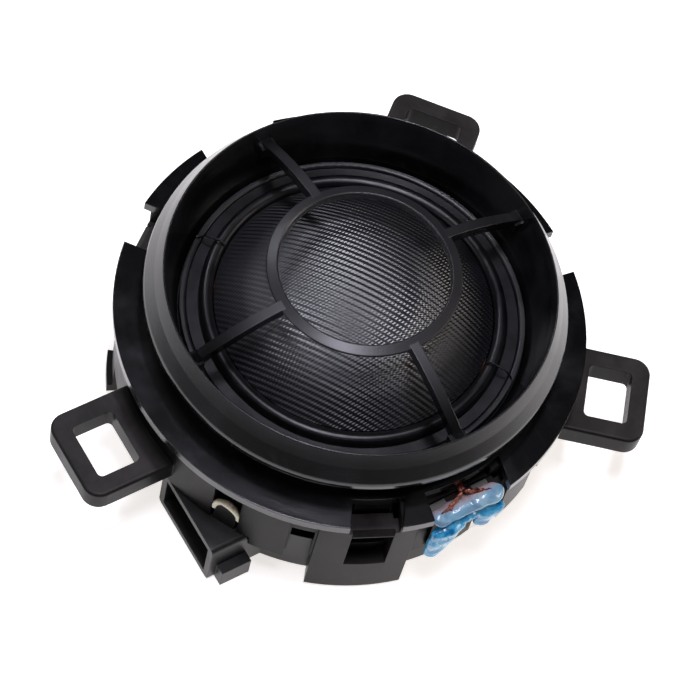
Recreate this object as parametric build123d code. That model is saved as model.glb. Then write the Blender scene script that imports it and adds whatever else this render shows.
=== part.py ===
"""Car tweeter: a 25 mm soft dome in a plug-in housing, as separate pieces.

Frame: +Z is the speaker axis, pointing out of the dome. The origin is on that
axis, in the front face of the mounting flange. The single ear is on -X.
All sizes are in millimetres and all angles in degrees.
"""
from build123d import *

import math
import os

# ---------------------------------------------------------------------- motor
COIL_R = 12.5              # voice coil former, outside; the radii of the part build on it
FORMER_THICK = 0.2
WINDING_THICK = 0.3
WINDING_HEIGHT = 2.5
GAP_INNER_CLEARANCE = 0.3  # former to pole plate
GAP_OUTER_CLEARANCE = 0.4  # winding to pot
POT_WALL = 1.8
POT_DEPTH = 7.0
POT_FLOOR = 1.6
POT_CORNER = 0.8
PLATE_THICK = 1.9
MAGNET_INSET = 1.5         # magnet's rim inside the coil
FELT_INSET = 3.0
FELT_THICK = 1.0
ADHESIVE_BEAD = 1.0

# ------------------------------------------------------------------ diaphragm
DOME_HEIGHT = 4.6
DOME_BASE_Z = 1.2
DOME_SKIRT = 0.7           # hem of the dome down the former
CLOTH_THICK = 0.25
SURROUND_INNER_GAP = 0.15
SURROUND_LIFT = 0.95       # crown of the roll above its clamped flat
SURROUND_WIDTH = 1.5
SEAT_WIDTH = 1.2           # flat of the ring that clamps the surround
STEP_WIDTH = 0.7           # visible rounded step of that ring
RING_RIM_WIDTH = 1.0       # its rim under the bezel
RING_RIM_TOP = -0.3
RING_TOP = 0.8
SEAT_Z = 0.45

# ---------------------------------------------------------------- front bezel
FLANGE_THICK = 1.0         # flange plate, its front face at z = 0
FLANGE_WIDTH = 2.45        # flange beyond the fullest part of the collar
LIP_STEP = 0.7             # lip of the collar outside the dome ring
LIP_HEIGHT = 6.25          # sharp front lip above the flange face
COLLAR_BULGE = 1.65        # fullest part of the collar outside its lip
COLLAR_R_HEIGHT = 3.1      # height of that part above the flange face
COLLAR_NECK_STEP = 0.2     # neck of the undercut outside the lip's radius
GUARD_SHARE = 0.5          # outside of the finger-guard ring, as a share of the lip's radius
GUARD_WIDTH = 1.05         # guard ring, radially
GUARD_DEPTH = 0.8          # guard ring, along the axis
GUARD_HEIGHT = 7.85        # top of the guard ring above the flange face
GUARD_FALL = 0.3           # its top slopes outward by this much
SPOKE_WIDTH = 0.95
SPOKE_DEPTH = 1.15
SPOKE_COUNT = 4
SPOKE_FOOT_HEIGHT = 4.55   # where a spoke's top meets the collar
SPOKE_ARCH = 0.36          # share of its drop that a spoke has made at half way
NOTCH_DEPTH = 2.85         # every notch cut in the flange rim

# ------------------------------------------------------------ snaps and slots
SNAP_ANGLES = (-114.3, -8.0, 128.0)
SNAP_NOTCH_WIDTH = 4.6     # notch in the flange over each snap
SNAP_ARM_WIDTH = 3.4
SNAP_ARM_THICK = 0.9
SNAP_ARM_LENGTH = 6.5      # arm below the flange's back face
SNAP_NOSE_REACH = 1.3      # how far the nose stands out of the arm
SNAP_NOSE_HEIGHT = 0.7
SNAP_CLEARANCE = 0.1
LEAD_NOTCH_ANGLES = (-90.0, 90.0)
LEAD_NOTCH_WIDTH = 7.7
NOTCH_SKEW = {-114.3: -10.0, -90.0: -12.0}   # these two notches lean off the radius

# -------------------------------------------------------------------- housing
WALL_SETBACK = 0.7         # wall inside the flange rim
WALL_THICK = 1.4
SHELF_THICK = 1.4          # shelf that carries the motor and the dome ring
PANEL_SETBACK = 0.75       # grooves between the wall panels
PANEL_GROOVES = ((-134.6, -127.6), (-65.0, -58.0), (20.0, 26.5), (56.0, 63.0), (106.0, 113.0))
GROOVE_OPEN_TOP = -4.6     # below this the grooves cut right through the wall
DEEP_PANEL = (-127.6, -103.3)
REAR_LEG = (146.0, 156.0)
REAR_LEG_FLARE = 0.5       # the leg's foot stands out of the wall
REAR_LEG_FOOT = 1.2
LEAD_RECESS_WIDTH = 9.6    # set-back field of the wall that carries the solder tags
FINGER_GAP = (-154.7, -147.1)
EAR_ANGLES = (180.0, 40.0, -40.0)
EAR_REACH = 7.7            # tip of each ear outside the wall
EAR_WIDTH = 9.0
EAR_THICK = 2.25
EAR_TOP = -4.5
EAR_CORNER = 1.6
EAR_EDGE = 0.3
EAR_BAR = 1.9              # inner bar of the ear, outside the wall
EAR_WINDOW_LENGTH = 4.1
EAR_WINDOW_WIDTH = 5.5
WINDOW_TOP = -3.25         # snap window in the wall
WINDOW_BOTTOM = -8.8
WINDOW_WIDTH = 3.8
LEDGE_TOP = -2.6           # wall top where a flange notch lies over it
LEDGE_CHAMFER = 0.5

# ----------------------------------------------------------------- rear cover
CHAMBER_HEIGHT = 5.8       # pot to the rearmost plane
WALL_FOOT_HEIGHT = 4.6     # lower edge of the wall above the rearmost plane
LEG_FOOT_HEIGHT = 0.3      # the deep panel's and the leg's, above that plane
COVER_GAP = 0.15           # cover inside the wall
COVER_WALL = 1.3
COVER_FLOOR = 1.2
COVER_HEIGHT = 6.2
COVER_CORNER = 0.6
SOCKET_INSET = 0.5         # mouth of the connector socket inside the wall's radius
SOCKET_LENGTH = 9.1
SOCKET_Y = -7.8            # socket centre line
SOCKET_INNER_WIDTH = 7.6
SOCKET_INNER_HEIGHT = 4.2
SOCKET_WALL = 0.75
SOCKET_CORNER = 0.5
SOCKET_FLOOR_THICK = 1.2
GUIDE_RIB = 1.0            # polarising rib along one side of the socket
GUIDE_RIB_START = 0.8      # behind the mouth
GUIDE_RIB_LENGTH = 3.0
GUIDE_RIB_HEIGHT = 2.4
FINGER_WIDTH = 2.2
FINGER_TOP = -5.0
FINGER_THICK = 1.0

# ---------------------------------------------------- terminals and crossover
PIN_SIZE = 0.64
PIN_PITCH = 2.54
PIN_EXPOSED = 4.7
PIN_TAIL = 2.4
TAG_OFFSET = 2.2           # each solder tag from the middle of the lead notch
TAG_WIDTH = 1.6
TAG_THICK = 0.4
TAG_BEND = 0.25
TAG_REACH = 2.4            # tail of the tag inside the wall
LITZ_R = 0.13
LITZ_STRANDS = 4
LACQUER_LOBES = {-1: (1.9, -7.3), 1: (1.75, -5.6)}   # half width and lower end, by side
LACQUER_BULGE = 0.8        # outside the wall
LACQUER_RISE = 1.0         # above the tags
LACQUER_LAP = 0.3          # inward over the ledge
LACQUER_CORNER = 0.4
WIRE_R = 0.55
LEAD_WIRE_R = 0.09
CAPACITOR_X = 1.5          # its near end face
CAPACITOR_LENGTH = 9.0
CAPACITOR_WIDTH = 6.0
CAPACITOR_HEIGHT = 3.4
CAPACITOR_LEG = 1.5
CAPACITOR_LEG_R = 0.3
FIT = 0.1                  # loose fit between moulded parts
LEAD_OUT_ANGLES = {"left": 126.0, "right": -54.0}

# ------------------------------------------------------------- derived places
SEAT_R = COIL_R + SURROUND_WIDTH
STEP_R = SEAT_R + SEAT_WIDTH
COLLAR_BORE_R = STEP_R + STEP_WIDTH
RING_R = COLLAR_BORE_R + RING_RIM_WIDTH
LIP_R = RING_R + LIP_STEP
COLLAR_R = LIP_R + COLLAR_BULGE
COLLAR_NECK_R = LIP_R + COLLAR_NECK_STEP
GUARD_R = LIP_R * GUARD_SHARE
FLANGE_R = COLLAR_R + FLANGE_WIDTH
NOTCH_INNER_R = FLANGE_R - NOTCH_DEPTH
FLANGE_BACK = -FLANGE_THICK
WALL_R = FLANGE_R - WALL_SETBACK
WALL_INNER_R = WALL_R - WALL_THICK
TAG_FACE_R = WALL_R - PANEL_SETBACK
EAR_TIP_R = WALL_R + EAR_REACH
EAR_WINDOW_INNER_R = WALL_R + EAR_BAR
EAR_WINDOW_OUTER_R = EAR_WINDOW_INNER_R + EAR_WINDOW_LENGTH
SHELF_BOTTOM = FLANGE_BACK - SHELF_THICK
POT_INNER_R = COIL_R + WINDING_THICK + GAP_OUTER_CLEARANCE
POT_R = POT_INNER_R + POT_WALL
POT_BOTTOM = FLANGE_BACK - POT_DEPTH
PLATE_R = COIL_R - FORMER_THICK - GAP_INNER_CLEARANCE
PLATE_BOTTOM = FLANGE_BACK - PLATE_THICK
MAGNET_BOTTOM = POT_BOTTOM + POT_FLOOR
BASE_Z = POT_BOTTOM - CHAMBER_HEIGHT
WALL_BOTTOM = BASE_Z + WALL_FOOT_HEIGHT
LEG_BOTTOM = BASE_Z + LEG_FOOT_HEIGHT
COVER_R = WALL_INNER_R - COVER_GAP
COVER_TOP = BASE_Z + COVER_HEIGHT
SOCKET_FACE_X = SOCKET_INSET - WALL_R
SOCKET_FLOOR_X = SOCKET_FACE_X + SOCKET_LENGTH
SOCKET_HEIGHT = SOCKET_INNER_HEIGHT + 2 * SOCKET_WALL
SOCKET_Z = BASE_Z + SOCKET_HEIGHT / 2
SOCKET_TOP = BASE_Z + SOCKET_HEIGHT
TAG_TAIL_Z = WALL_BOTTOM + 1.0
FINGER_ANGLE = (FINGER_GAP[0] + FINGER_GAP[1]) / 2
FAR = 3 * FLANGE_R         # longer than the whole part, for cutting tools


# -------------------------------------------------------------------- helpers
def turned(points, rounds=()):
    """Revolve an (r, z) outline about the speaker axis; rounds are (r, z, radius)."""
    face = make_face(Polyline(*points, close=True))
    for r, z, radius in rounds:
        corner = face.vertices().sort_by_distance((r, z, 0))[0]
        face = fillet(corner, radius)
    return revolve(Plane.XZ * face, Axis.Z)


def tube(outer, inner, low, high):
    """A plain ring between two radii and two heights."""
    return turned([(inner, low), (outer, low), (outer, high), (inner, high)])


def disc(radius, low, high):
    return turned([(0, low), (radius, low), (radius, high), (0, high)])


def sector(outer, inner, start, stop, low, high):
    """A piece of ring between two angles."""
    outer_arc = CenterArc((0, 0), outer, start, stop - start)
    inner_arc = CenterArc((0, 0), inner, start, stop - start)
    ends = [Line(inner_arc @ 0, outer_arc @ 0), Line(inner_arc @ 1, outer_arc @ 1)]
    face = make_face([outer_arc, inner_arc, *ends])
    return Pos(0, 0, low) * extrude(face, high - low, dir=(0, 0, 1))


def block(x_range, y_range, z_range):
    """An axis-aligned box between given limits."""
    size = [high - low for low, high in (x_range, y_range, z_range)]
    middle = [(high + low) / 2 for low, high in (x_range, y_range, z_range)]
    return Pos(*middle) * Box(*size)


def radial_block(angle, inner, outer, width, low, high):
    """A box that points outward at an angle, from one radius to another."""
    return Rot(0, 0, angle) * block((inner, outer), (-width / 2, width / 2), (low, high))


def wire(points, bend, radius):
    """A round wire along straight runs with rounded corners."""
    path = FilletPolyline(*points, radius=bend)
    start = Plane(path @ 0, z_dir=path % 0)
    return sweep(start * Circle(radius), path)


def save(name, shape):
    export_step(shape, f"parts/{name}.step")


# ---------------------------------------------------------------- front bezel
def guard_spoke():
    """One arched spoke from the guard ring down to the collar, along +X."""
    start_r = GUARD_R - GUARD_WIDTH / 2
    end_r = LIP_R - 0.2
    middle_r = (start_r + end_r) / 2
    drop = GUARD_HEIGHT - SPOKE_FOOT_HEIGHT
    crown = GUARD_HEIGHT - drop * SPOKE_ARCH
    start_z = GUARD_HEIGHT - GUARD_FALL / 2
    top = ThreePointArc((start_r, start_z), (middle_r, crown), (end_r, SPOKE_FOOT_HEIGHT))
    foot = Line(top @ 1, (end_r, SPOKE_FOOT_HEIGHT - SPOKE_DEPTH))
    under_start = (start_r, GUARD_HEIGHT - SPOKE_DEPTH)
    bottom = ThreePointArc(foot @ 1, (middle_r, crown - SPOKE_DEPTH), under_start)
    face = make_face([top, foot, bottom, Line(bottom @ 1, top @ 0)])
    spoke = extrude(Plane.XZ * face, SPOKE_WIDTH / 2, both=True)
    knuckle_low = SPOKE_FOOT_HEIGHT - SPOKE_DEPTH
    knuckle = block((end_r - 1.1, end_r), (-SPOKE_WIDTH * 0.8, SPOKE_WIDTH * 0.8),
                    (knuckle_low, SPOKE_FOOT_HEIGHT + 0.1))
    return spoke + knuckle


def snap_arm(angle):
    """A springy arm below the bezel, with a nose that catches under the housing's ledge."""
    outer = NOTCH_INNER_R - SNAP_CLEARANCE
    inner = outer - SNAP_ARM_THICK
    nose_top = WINDOW_TOP - SNAP_CLEARANCE
    tip = FLANGE_BACK - SNAP_ARM_LENGTH
    outline = Polyline(
        (inner, FLANGE_BACK + FLANGE_THICK / 2), (outer, FLANGE_BACK + FLANGE_THICK / 2), (outer, nose_top),
        (outer + SNAP_NOSE_REACH, nose_top), (outer + SNAP_NOSE_REACH, nose_top - SNAP_NOSE_HEIGHT),
        (outer, tip + 0.6), (outer - 0.3, tip), (inner, tip), close=True)
    arm = extrude(Plane.XZ * make_face(outline), SNAP_ARM_WIDTH / 2, both=True)
    return Rot(0, 0, angle) * arm


def flange_notch(angle, width):
    """Cutting tool for one notch of the flange rim; some lean off the radius."""
    middle_r = (NOTCH_INNER_R + FLANGE_R) / 2
    tool = block((-NOTCH_INNER_R / 2, NOTCH_INNER_R / 2), (-width / 2, width / 2), (FLANGE_BACK - 1, 0.3))
    tool = Rot(0, 0, angle) * Pos(middle_r, 0, 0) * Rot(0, 0, NOTCH_SKEW.get(angle, 0)) * tool
    return tool - disc(NOTCH_INNER_R, FLANGE_BACK - 2, 1)


def front_bezel():
    shoulder_z = RING_RIM_TOP + FIT
    belly = COLLAR_R_HEIGHT
    body = turned(
        [(RING_R + FIT, FLANGE_BACK), (FLANGE_R, FLANGE_BACK), (FLANGE_R, 0), (COLLAR_NECK_R, 0),
         (COLLAR_NECK_R + 0.1, belly - 1.6), (COLLAR_R - 0.25, belly - 0.7), (COLLAR_R - 0.25, belly - 0.3),
         (COLLAR_R, belly - 0.3), (COLLAR_R, belly + 0.3), (LIP_R + 0.8, LIP_HEIGHT - 1.35),
         (LIP_R + 0.12, LIP_HEIGHT), (LIP_R, LIP_HEIGHT), (LIP_R - 0.3, LIP_HEIGHT - 1.3),
         (COLLAR_BORE_R, shoulder_z), (RING_R + FIT, shoulder_z)],
        rounds=[(COLLAR_R, belly + 0.3, 0.9), (LIP_R + 0.8, LIP_HEIGHT - 1.35, 1.2),
                (COLLAR_NECK_R, 0, 0.2)])
    for angle in LEAD_NOTCH_ANGLES:
        body -= flange_notch(angle, LEAD_NOTCH_WIDTH)
    for angle in SNAP_ANGLES:
        body -= flange_notch(angle, SNAP_NOTCH_WIDTH)
    ring_inner = GUARD_R - GUARD_WIDTH
    guard = turned(
        [(ring_inner, GUARD_HEIGHT - GUARD_DEPTH), (GUARD_R - 0.3, GUARD_HEIGHT - GUARD_DEPTH),
         (GUARD_R, GUARD_HEIGHT - GUARD_DEPTH / 2), (GUARD_R, GUARD_HEIGHT - GUARD_FALL),
         (ring_inner + 0.15, GUARD_HEIGHT), (ring_inner, GUARD_HEIGHT - 0.1)],
        rounds=[(GUARD_R, GUARD_HEIGHT - GUARD_FALL, 0.12)])
    body += guard
    for step in range(SPOKE_COUNT):
        body += Rot(0, 0, step * 360 / SPOKE_COUNT) * guard_spoke()
    for angle in SNAP_ANGLES:
        body += snap_arm(angle)
    return body


# -------------------------------------------------------------------- housing
def ear():
    """A rectangular mounting loop that stands out of the wall, along +X."""
    low = EAR_TOP - EAR_THICK
    loop = block((WALL_INNER_R + 0.4, EAR_TIP_R), (-EAR_WIDTH / 2, EAR_WIDTH / 2), (low, EAR_TOP))
    tips = loop.edges().filter_by(Axis.Z).group_by(Axis.X)[-1]
    loop = fillet(tips, EAR_CORNER)
    loop = fillet(loop.faces().sort_by(Axis.Z)[-1].outer_wire().edges().filter_by_position(
        Axis.X, WALL_R, FAR), EAR_EDGE)
    half = EAR_WINDOW_WIDTH / 2
    window = block((EAR_WINDOW_INNER_R, EAR_WINDOW_OUTER_R), (-half, half), (low - 1, EAR_TOP + 1))
    window = fillet(window.edges().filter_by(Axis.Z), 0.5)
    return loop - window


def wall_ledge(angle, width, outer):
    """Bridge over a window of the wall, chamfered along its outer top edge."""
    bridge = block((NOTCH_INNER_R + SNAP_CLEARANCE, outer), (-width / 2, width / 2), (WINDOW_TOP, LEDGE_TOP))
    edge = bridge.edges().filter_by(Axis.Y).group_by(Axis.X)[-1].sort_by(Axis.Z)[-1]
    return Rot(0, 0, angle) * chamfer(edge, LEDGE_CHAMFER)


def rear_leg():
    """Short leg below the wall with a foot that stands outward."""
    leg = sector(WALL_R, WALL_INNER_R, *REAR_LEG, LEG_BOTTOM, WALL_BOTTOM)
    foot_r = WALL_R + REAR_LEG_FLARE
    return leg + sector(foot_r, WALL_INNER_R, *REAR_LEG, LEG_BOTTOM, LEG_BOTTOM + REAR_LEG_FOOT)


def housing():
    body = tube(WALL_R, WALL_INNER_R, WALL_BOTTOM, FLANGE_BACK)
    body += tube(WALL_INNER_R + 0.2, POT_R + FIT / 2, SHELF_BOTTOM, FLANGE_BACK)
    body += sector(WALL_R, WALL_INNER_R, *DEEP_PANEL, LEG_BOTTOM, WALL_BOTTOM)
    body += rear_leg()
    for angle in EAR_ANGLES:
        body += Rot(0, 0, angle) * ear()
    below = WALL_BOTTOM - 1
    for start, stop in PANEL_GROOVES:
        body -= sector(WALL_R + 1, WALL_R - PANEL_SETBACK, start, stop, below, FLANGE_BACK)
        body -= sector(WALL_R + 1, WALL_INNER_R - FIT, start + 0.5, stop - 0.5, below, GROOVE_OPEN_TOP)
    body -= sector(WALL_R + 1, WALL_INNER_R - FIT, *FINGER_GAP, below, SHELF_BOTTOM)
    arm_inner = NOTCH_INNER_R - SNAP_ARM_THICK - 3 * SNAP_CLEARANCE
    for angle in SNAP_ANGLES:
        body -= radial_block(angle, WALL_INNER_R - 0.5, WALL_R + 1, WINDOW_WIDTH, WINDOW_BOTTOM, WINDOW_TOP)
        body -= radial_block(angle, arm_inner, WALL_R + 1, SNAP_NOTCH_WIDTH, LEDGE_TOP, 0)
        body -= radial_block(angle, arm_inner, NOTCH_INNER_R, WINDOW_WIDTH, SHELF_BOTTOM - 1, 0)
        body -= radial_block(angle, NOTCH_INNER_R, WALL_R + 1, WINDOW_WIDTH, WINDOW_TOP, LEDGE_TOP)
        body += wall_ledge(angle, WINDOW_WIDTH, WALL_R)
    for angle in LEAD_NOTCH_ANGLES:
        setback = radial_block(angle, WALL_INNER_R - 3, FAR, LEAD_RECESS_WIDTH, below, 0)
        body -= setback - disc(TAG_FACE_R, -FAR, FAR)
        body -= radial_block(angle, NOTCH_INNER_R, FAR, LEAD_RECESS_WIDTH, LEDGE_TOP, 0)
        body += radial_block(angle, NOTCH_INNER_R, TAG_FACE_R, LEAD_NOTCH_WIDTH, WINDOW_TOP, LEDGE_TOP)
    body -= block((-TAG_OFFSET - 1.2, TAG_OFFSET + 1.2), (-NOTCH_INNER_R - FIT, -RING_R + 0.5),
                  (LEDGE_TOP + 0.3, 0))
    for side in (-1, 1):
        slot_x = side * TAG_OFFSET
        half = TAG_WIDTH / 2 + FIT / 2
        body -= block((slot_x - half, slot_x + half), (-FLANGE_R, -WALL_INNER_R + 0.5),
                      (TAG_TAIL_Z - FIT / 2, TAG_TAIL_Z + TAG_THICK + FIT / 2))
    low_y, high_y = socket_sides()
    body -= block((-FAR, SOCKET_FLOOR_X), (low_y - FIT, high_y + FIT), (BASE_Z - 1, SOCKET_TOP + FIT))
    return body


# ----------------------------------------------------------------- rear cover
def rear_cover():
    body = turned(
        [(0, BASE_Z), (COVER_R, BASE_Z), (COVER_R, COVER_TOP), (COVER_R - COVER_WALL, COVER_TOP),
         (COVER_R - COVER_WALL, BASE_Z + COVER_FLOOR), (0, BASE_Z + COVER_FLOOR)],
        rounds=[(COVER_R, BASE_Z, COVER_CORNER)])
    back_x = SOCKET_FLOOR_X + SOCKET_FLOOR_THICK
    low_y, high_y = socket_sides()
    shell = block((SOCKET_FACE_X, back_x), (low_y, high_y), (BASE_Z, SOCKET_TOP))
    shell = fillet(shell.edges().filter_by(Axis.X), SOCKET_CORNER)
    body += shell
    rib_x = SOCKET_FACE_X + GUIDE_RIB_START
    body += block((rib_x, rib_x + GUIDE_RIB_LENGTH), (low_y - GUIDE_RIB, low_y + SOCKET_WALL / 2),
                  (BASE_Z, BASE_Z + GUIDE_RIB_HEIGHT))
    body += Rot(0, 0, FINGER_ANGLE) * locking_finger()
    half = SOCKET_INNER_WIDTH / 2
    cavity = block((SOCKET_FACE_X - 1, SOCKET_FLOOR_X), (SOCKET_Y - half, SOCKET_Y + half),
                   (SOCKET_Z - SOCKET_INNER_HEIGHT / 2, SOCKET_Z + SOCKET_INNER_HEIGHT / 2))
    body -= cavity
    for pin_y in pin_places():
        hole = block((SOCKET_FLOOR_X - 1, back_x + 1),
                     (pin_y - PIN_SIZE / 2, pin_y + PIN_SIZE / 2),
                     (SOCKET_Z - PIN_SIZE / 2, SOCKET_Z + PIN_SIZE / 2))
        body -= hole
    clear = radial_block(-90, COVER_R - COVER_WALL - 1, FAR, LEAD_NOTCH_WIDTH, TAG_TAIL_Z - 0.4, 0)
    body -= clear
    return body


def socket_sides():
    half = SOCKET_INNER_WIDTH / 2 + SOCKET_WALL
    return SOCKET_Y - half, SOCKET_Y + half


def locking_finger():
    """Round-topped finger that stands on the socket's roof, in the gap of the wall, along +X."""
    straight_top = FINGER_TOP - FINGER_WIDTH / 2
    outer = WALL_R - 0.1
    post = block((outer - FINGER_THICK, outer), (-FINGER_WIDTH / 2, FINGER_WIDTH / 2),
                 (SOCKET_TOP - 0.5, straight_top))
    crown = Pos(outer - FINGER_THICK / 2, 0, straight_top) * Rot(0, 90, 0) * Cylinder(
        FINGER_WIDTH / 2, FINGER_THICK)
    return post + crown


def sealing_bead():
    """Mound of pale hot-melt on the cover's rim, behind the locking finger."""
    width = FINGER_WIDTH + 0.7
    mound = Rot(0, 90, 0) * Cylinder(width / 2, COVER_WALL - 0.3)
    mound = Pos(COVER_R - COVER_WALL / 2, 0, COVER_TOP) * mound
    mound -= block((0, FAR), (-FAR, FAR), (COVER_TOP - FAR, COVER_TOP))
    return Rot(0, 0, FINGER_ANGLE) * mound


# ---------------------------------------------------------------------- motor
def pot():
    return turned(
        [(0, POT_BOTTOM), (POT_R, POT_BOTTOM), (POT_R, FLANGE_BACK), (POT_INNER_R, FLANGE_BACK),
         (POT_INNER_R, MAGNET_BOTTOM), (0, MAGNET_BOTTOM)],
        rounds=[(POT_R, POT_BOTTOM, POT_CORNER)])


def motor_adhesive():
    """Bead that bonds the pot to the underside of the shelf."""
    return turned([(POT_R, SHELF_BOTTOM), (POT_R, SHELF_BOTTOM - ADHESIVE_BEAD),
                   (POT_R + ADHESIVE_BEAD, SHELF_BOTTOM)])


def coil_bottom():
    return (FLANGE_BACK + PLATE_BOTTOM) / 2 - WINDING_HEIGHT / 2


# ------------------------------------------------------------------ diaphragm
def dome():
    """Spherical cap with a short skirt that wraps the top of the former."""
    rim = COIL_R + CLOTH_THICK
    sphere_r = (rim ** 2 + DOME_HEIGHT ** 2) / (2 * DOME_HEIGHT)
    centre_z = DOME_BASE_Z + DOME_HEIGHT - sphere_r
    inner_r = sphere_r - CLOTH_THICK
    rise = math.sin(math.radians(45))

    def on_sphere(radius, r):
        return (r, centre_z + math.sqrt(radius ** 2 - r ** 2))

    top = ThreePointArc((0, centre_z + sphere_r), on_sphere(sphere_r, rim * rise), on_sphere(sphere_r, rim))
    skirt = Line(top @ 1, (rim, DOME_BASE_Z - DOME_SKIRT))
    hem = Line(skirt @ 1, (COIL_R, DOME_BASE_Z - DOME_SKIRT))
    inside = Line(hem @ 1, on_sphere(inner_r, COIL_R))
    under = ThreePointArc(inside @ 1, on_sphere(inner_r, COIL_R * rise), (0, centre_z + inner_r))
    face = make_face([top, skirt, hem, inside, under, Line(under @ 1, top @ 0)])
    return revolve(Plane.XZ * face, Axis.Z)


def former_top():
    """The former ends just under the dome's inside face."""
    return DOME_BASE_Z - CLOTH_THICK - 0.1


def surround():
    """Half-roll of the same cloth, from the dome's rim to the clamped flat."""
    inner = COIL_R + CLOTH_THICK + SURROUND_INNER_GAP
    flat_top = SEAT_Z + CLOTH_THICK
    crown_r = (inner + SEAT_R) / 2
    crown = flat_top + SURROUND_LIFT
    top = ThreePointArc((inner, DOME_BASE_Z), (crown_r, crown), (SEAT_R + 0.2, flat_top))
    shelf = Line(top @ 1, (STEP_R - 0.05, flat_top))
    end = Line(shelf @ 1, (STEP_R - 0.05, SEAT_Z))
    base = Line(end @ 1, (SEAT_R, SEAT_Z))
    under = ThreePointArc(base @ 1, (crown_r, crown - CLOTH_THICK), (inner, DOME_BASE_Z - CLOTH_THICK))
    face = make_face([top, shelf, end, base, under, Line(under @ 1, top @ 0)])
    return revolve(Plane.XZ * face, Axis.Z)


def dome_ring():
    """Stepped ring that carries the diaphragm; its rounded step shows inside the collar."""
    return turned(
        [(SEAT_R, FLANGE_BACK), (RING_R, FLANGE_BACK), (RING_R, RING_RIM_TOP),
         (COLLAR_BORE_R - FIT, RING_RIM_TOP), (COLLAR_BORE_R - FIT, RING_TOP),
         (STEP_R, RING_TOP), (STEP_R, SEAT_Z), (SEAT_R, SEAT_Z)],
        rounds=[(STEP_R, RING_TOP, 0.3)])


def lead_out_wire(angle):
    """Fine coil wire that arches over the roll and lies down on the ring."""
    start_r = COIL_R + CLOTH_THICK + LEAD_WIRE_R + 0.05
    crown = SEAT_Z + CLOTH_THICK + SURROUND_LIFT + 0.35
    rest_z = RING_TOP + LEAD_WIRE_R
    points = [(start_r, 0, DOME_BASE_Z + 0.35), (start_r + 0.6, 0, crown), (SEAT_R + 0.9, 0, crown - 0.3),
              (STEP_R + 0.35, 0, rest_z), (COLLAR_BORE_R - 0.12, 0, rest_z)]
    return Rot(0, 0, angle) * wire(points, 0.2, LEAD_WIRE_R)


# ---------------------------------------------------- terminals and crossover
def pin_places():
    return (SOCKET_Y - PIN_PITCH / 2, SOCKET_Y + PIN_PITCH / 2)


def terminal_pin(pin_y):
    tip = SOCKET_FLOOR_X - PIN_EXPOSED
    tail = SOCKET_FLOOR_X + SOCKET_FLOOR_THICK + PIN_TAIL
    half = PIN_SIZE / 2
    pin = block((tip, tail), (pin_y - half, pin_y + half), (SOCKET_Z - half, SOCKET_Z + half))
    return chamfer(pin.faces().sort_by(Axis.X)[0].edges(), PIN_SIZE / 4)


def solder_tag(side):
    """Bent strip: a foot over the ledge, a leg down the wall and a tail back inside."""
    low_y = -TAG_FACE_R - TAG_THICK - FIT
    high_z = LEDGE_TOP + TAG_THICK
    x_range = (side * TAG_OFFSET - TAG_WIDTH / 2, side * TAG_OFFSET + TAG_WIDTH / 2)
    foot = block(x_range, (low_y, -NOTCH_INNER_R - 2 * FIT), (LEDGE_TOP, high_z))
    leg = block(x_range, (low_y, low_y + TAG_THICK), (TAG_TAIL_Z, high_z))
    tail = block(x_range, (low_y, -WALL_INNER_R + TAG_REACH), (TAG_TAIL_Z, TAG_TAIL_Z + TAG_THICK))
    tag = foot + leg + tail
    return fillet(tag.edges().filter_by(Axis.X).group_by(Axis.Y)[0], TAG_BEND)


def litz_lead(side):
    """Bundle of bare copper strands from under the bezel to the solder tag."""
    strands = []
    spacing = 2.6 * LITZ_R
    first = -(LITZ_STRANDS - 1) / 2 * spacing
    rest_z = LEDGE_TOP + TAG_THICK + LITZ_R + 0.03
    for index in range(LITZ_STRANDS):
        x = side * TAG_OFFSET + first + index * spacing
        sway = 0.25 * math.sin(2.1 * index + side)
        lift = 0.16 * math.cos(1.7 * index)
        points = [(x, -RING_R - 0.15, rest_z + 0.05), (x + sway * 0.4, -NOTCH_INNER_R, rest_z + 0.55 + lift),
                  (x, -NOTCH_INNER_R - 0.9, rest_z + 0.1), (x, -TAG_FACE_R - 0.2, rest_z)]
        strands.append(wire(points, 0.35, LITZ_R))
    return Compound(children=strands)


def lacquer_drop(side):
    """Lobe of blue lacquer over a solder tag; plain and closed."""
    half, low = LACQUER_LOBES[side]
    outer_y = -WALL_R - LACQUER_BULGE
    x_middle = side * TAG_OFFSET
    skin_y = -TAG_FACE_R - TAG_THICK - FIT
    top = LEDGE_TOP + TAG_THICK + LACQUER_RISE
    drop = block((x_middle - half, x_middle + half), (outer_y, skin_y), (low, top))
    drop += block((x_middle - half, x_middle + half), (skin_y, -TAG_FACE_R + LACQUER_LAP),
                  (LEDGE_TOP + TAG_THICK + 3 * LITZ_R, top))
    return fillet(drop.faces().sort_by(Axis.Y)[0].edges(), LACQUER_CORNER)


def capacitor():
    """Box film capacitor glued to the cover's floor."""
    low = BASE_Z + COVER_FLOOR
    body = block((CAPACITOR_X, CAPACITOR_X + CAPACITOR_LENGTH), (-CAPACITOR_WIDTH / 2, CAPACITOR_WIDTH / 2),
                 (low, low + CAPACITOR_HEIGHT))
    return fillet(body.edges().filter_by(Axis.Z), 0.4)


def capacitor_leg(side):
    """Bare leg that comes out of one end face of the capacitor."""
    low = BASE_Z + COVER_FLOOR
    x = CAPACITOR_X if side < 0 else CAPACITOR_X + CAPACITOR_LENGTH
    z = low + CAPACITOR_HEIGHT / 2
    return Pos(x + side * CAPACITOR_LEG / 2, 0, z) * Rot(0, 90, 0) * Cylinder(CAPACITOR_LEG_R, CAPACITOR_LEG)


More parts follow.
